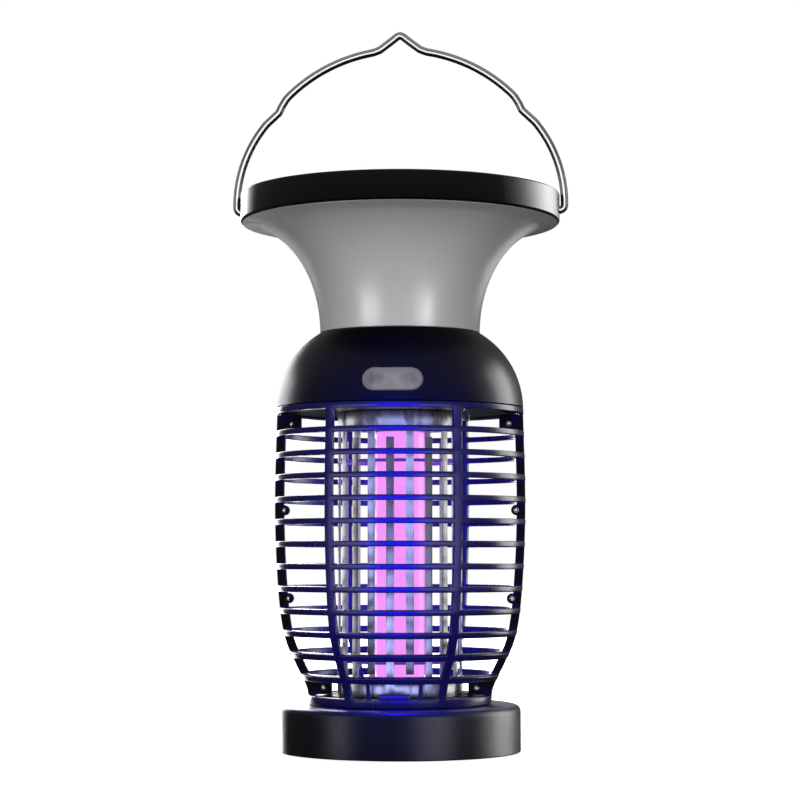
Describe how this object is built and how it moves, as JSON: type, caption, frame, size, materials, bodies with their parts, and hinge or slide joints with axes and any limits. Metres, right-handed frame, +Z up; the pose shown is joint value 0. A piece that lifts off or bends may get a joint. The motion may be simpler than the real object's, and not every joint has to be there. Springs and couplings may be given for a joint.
{
  "type": "lantern bug zapper",
  "caption": "Cordless lantern insect zapper: wire bail, solar cap, trumpet diffuser, domed head, barred cage round a lamp and shock grid, twist-off tray.",
  "frame": {"origin": "centre of the base's underside, on the floor", "axes": "+Z up the lamp's axis, -Y towards the front with the button, X along the bail's pivot axis"},
  "size_m": [0.1582, 0.15, 0.3382],
  "materials": {
    "gloss_black": "polished",
    "satin_black": "satin, finely textured",
    "milky_diffuser": "translucent, semi-gloss",
    "grey_lens": "translucent, satin",
    "polished_steel": "polished wire",
    "bright_steel": "bright rolled sheet",
    "lamp_glow": "lit violet tube",
    "white_plastic": "moulded",
    "circuit_board": "solder mask",
    "rubber": "matt",
    "cell_wrap": "shrink-wrapped cell",
    "solar_cell": "silicon cells with fine silver lines",
    "panel_glass": "clear"
  },
  "bodies": {
    "root": {"rim_band": "gloss_black", "solar_glass": "panel_glass", "panel_gasket": "rubber", "solar_cells": "solar_cell", "panel_frame": "satin_black", "diffuser": "milky_diffuser", "reflector_disc": "white_plastic", "led_board": "white_plastic", "handle_bush_left": "satin_black", "handle_bush_right": "satin_black", "upper_housing": "satin_black", "tact_switch": "satin_black", "button_board": "circuit_board", "usb_socket": "bright_steel", "charge_board": "circuit_board", "chassis_plate": "satin_black", "chassis_screw_1": "bright_steel", "chassis_screw_2": "bright_steel", "chassis_screw_3": "bright_steel", "chassis_screw_4": "bright_steel", "main_board": "circuit_board", "hv_transformer": "satin_black", "battery_holder": "satin_black", "battery_cell_1": "cell_wrap", "battery_cell_2": "cell_wrap", "upper_grid": "bright_steel", "lower_grid": "bright_steel", "upper_spacer_ring": "white_plastic", "lower_spacer_ring": "white_plastic", "lower_grid_lead": "rubber", "uv_lamp": "lamp_glow", "lamp_cap_top": "white_plastic", "lamp_cap_bottom": "white_plastic", "lamp_socket": "white_plastic", "cage_front": "satin_black", "cage_rear": "satin_black", "cage_screw_1": "bright_steel", "cage_screw_2": "bright_steel", "cage_screw_3": "bright_steel", "cage_screw_4": "bright_steel", "cage_screw_5": "bright_steel", "cage_screw_6": "bright_steel", "cage_screw_7": "bright_steel", "cage_screw_8": "bright_steel", "lower_collar": "satin_black"},
    "bail": {"handle": "polished_steel"},
    "button": {"button_cap": "grey_lens", "switch_plunger": "white_plastic"},
    "port_flap": {"port_cover": "rubber"},
    "tray": {"base_shell": "satin_black", "tray_floor": "satin_black", "foot_pad_1": "rubber", "foot_pad_2": "rubber", "foot_pad_3": "rubber", "foot_pad_4": "rubber"}
  },
  "joints": [
    {"name": "bail_swing", "type": "hinge", "parent": "root", "child": "bail", "pos_m": [0, 0, 0.2524], "axis": [1, 0, 0], "range_deg": [-70, 70]},
    {"name": "button_press", "type": "slide", "parent": "root", "child": "button", "axis": [0, 0.9681, -0.2506], "range_m": [0, 0.0012], "stiffness_N_per_m": 400},
    {"name": "port_flap_hinge", "type": "hinge", "parent": "root", "child": "port_flap", "pos_m": [0, 0.05527, 0.17272], "axis": [1, 0, 0], "range_deg": [0, 110]},
    {"name": "tray_twist", "type": "hinge", "parent": "root", "child": "tray", "pos_m": [0, 0, 0.0111], "axis": [0, 0, 1], "range_deg": [0, 30]}
  ]
}
